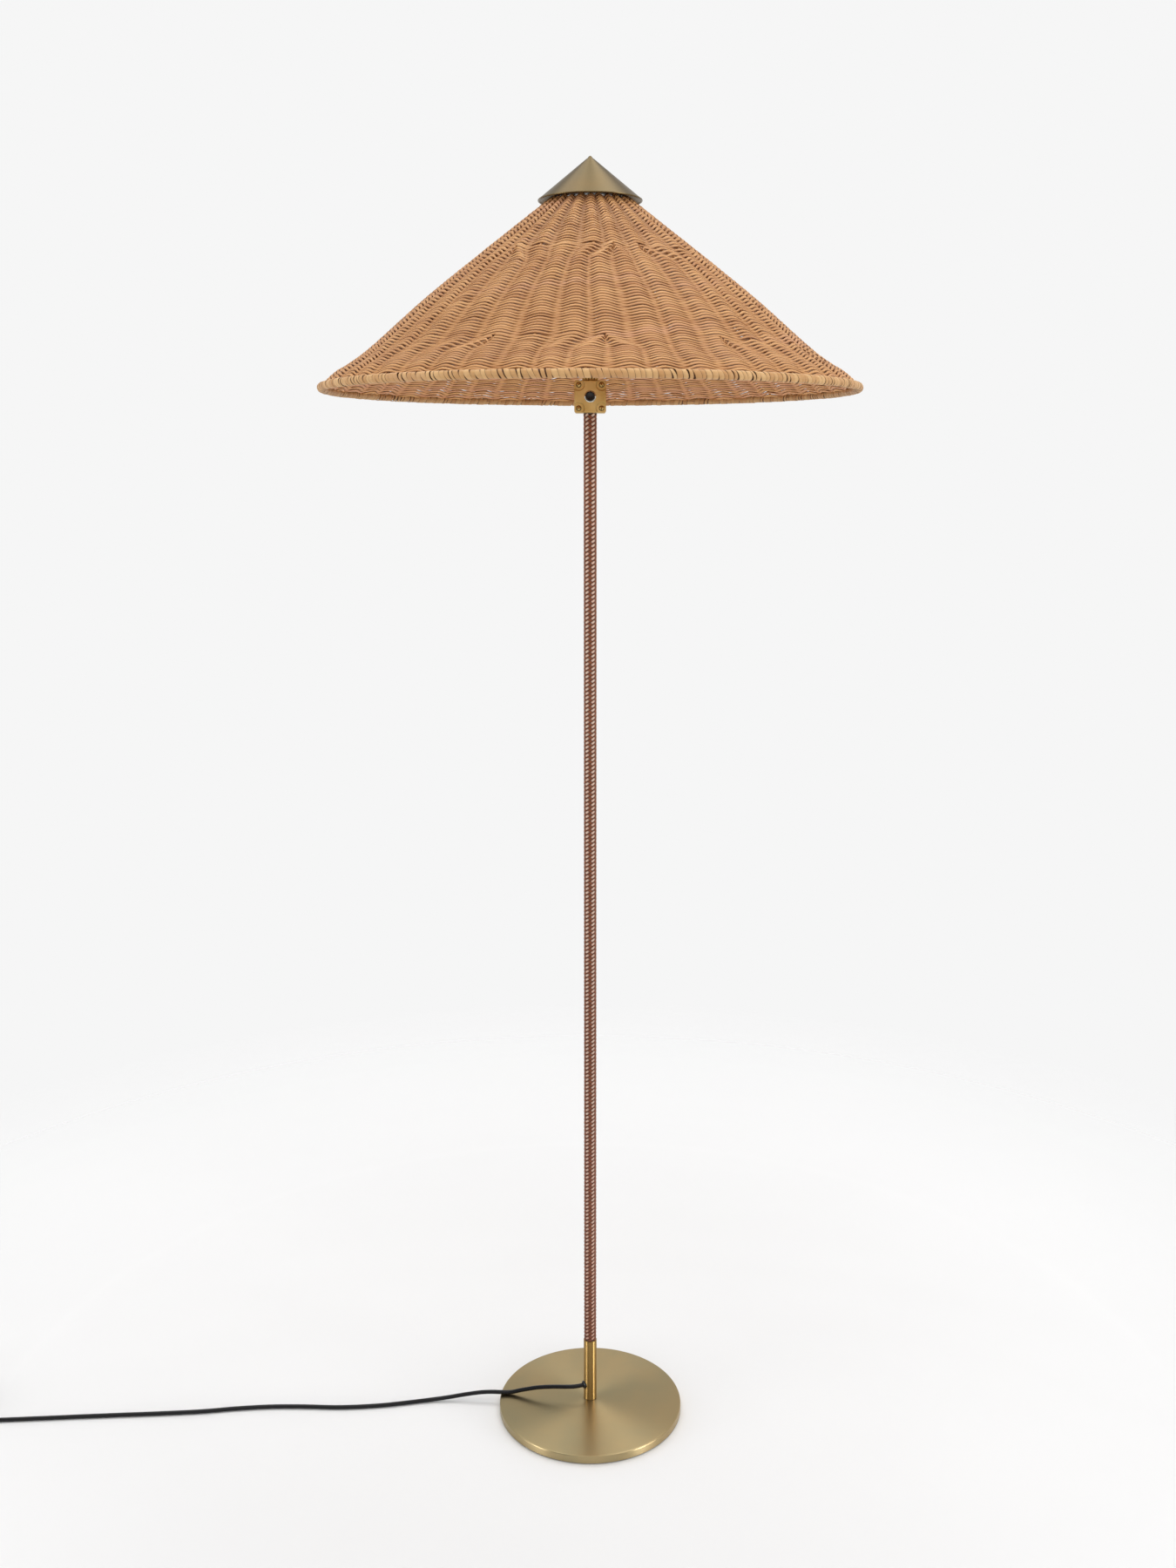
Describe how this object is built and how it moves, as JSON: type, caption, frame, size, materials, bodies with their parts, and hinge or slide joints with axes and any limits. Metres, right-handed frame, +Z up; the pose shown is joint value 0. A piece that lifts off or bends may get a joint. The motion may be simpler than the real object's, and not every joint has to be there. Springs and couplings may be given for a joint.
{
  "type": "floor lamp",
  "caption": "Floor lamp with a wide woven rattan cone shade, a small brass cap, a slim braided stem, a push switch box and a thin round brass base.",
  "frame": {"origin": "on the floor, on the axis of the stem, at the centre of the base's underside", "axes": "+Z up along the stem; the switch's face looks along -Y; the cord leaves the foot towards -X"},
  "size_m": [1.1465, 0.5996, 1.49],
  "materials": {
    "brass": "satin, lightly brushed",
    "steel": "zinc plated",
    "silver": "bright nickel",
    "iron": "raw casting",
    "rattan": "natural rattan, satin",
    "pale_rattan": "natural rattan skin, slight gloss",
    "sleeve": "braided brown sleeve with pale flecks",
    "black_plastic": "black, soft gloss",
    "black_rubber": "black, matt",
    "felt": "dark felt",
    "opal_glass": "opal white"
  },
  "bodies": {
    "lamp": {"base_cover": "brass", "foot_tube": "brass", "switch_box": "brass", "switch_cover": "brass", "cover_screw_1": "brass", "cover_screw_2": "brass", "cover_screw_3": "brass", "cover_screw_4": "brass", "knurled_collar": "brass", "holder_cap": "brass", "holder_thread": "brass", "cap_cone": "brass", "foot_washer": "steel", "foot_bolt": "steel", "foot_plug": "steel", "stem_tube": "steel", "stem_nut": "steel", "switch_nut": "steel", "nipple": "steel", "nipple_nut": "steel", "cap_screw": "steel", "shade_frame": "steel", "switch_bezel": "silver", "bulb_cap": "silver", "plug_pin_1": "silver", "plug_pin_2": "silver", "base_weight": "iron", "shade_weave": "rattan", "rim_hoop": "rattan", "rim_binding": "pale_rattan", "stem_cover": "sleeve", "cord_grommet": "black_plastic", "switch_body": "black_plastic", "holder_shell": "black_plastic", "holder_ring": "black_plastic", "plug_body": "black_plastic", "cord_run": "black_rubber", "cord_coil": "black_rubber", "cord_tie": "black_rubber", "inner_lead": "black_rubber", "base_pad": "felt", "bulb_glass": "opal_glass"},
    "push_button": {"switch_button": "black_plastic"}
  },
  "joints": [
    {"name": "switch_push", "type": "slide", "parent": "lamp", "child": "push_button", "axis": [0, 1, 0], "range_m": [0, 0.0025], "stiffness_N_per_m": 600, "springref_m": -0.002}
  ]
}
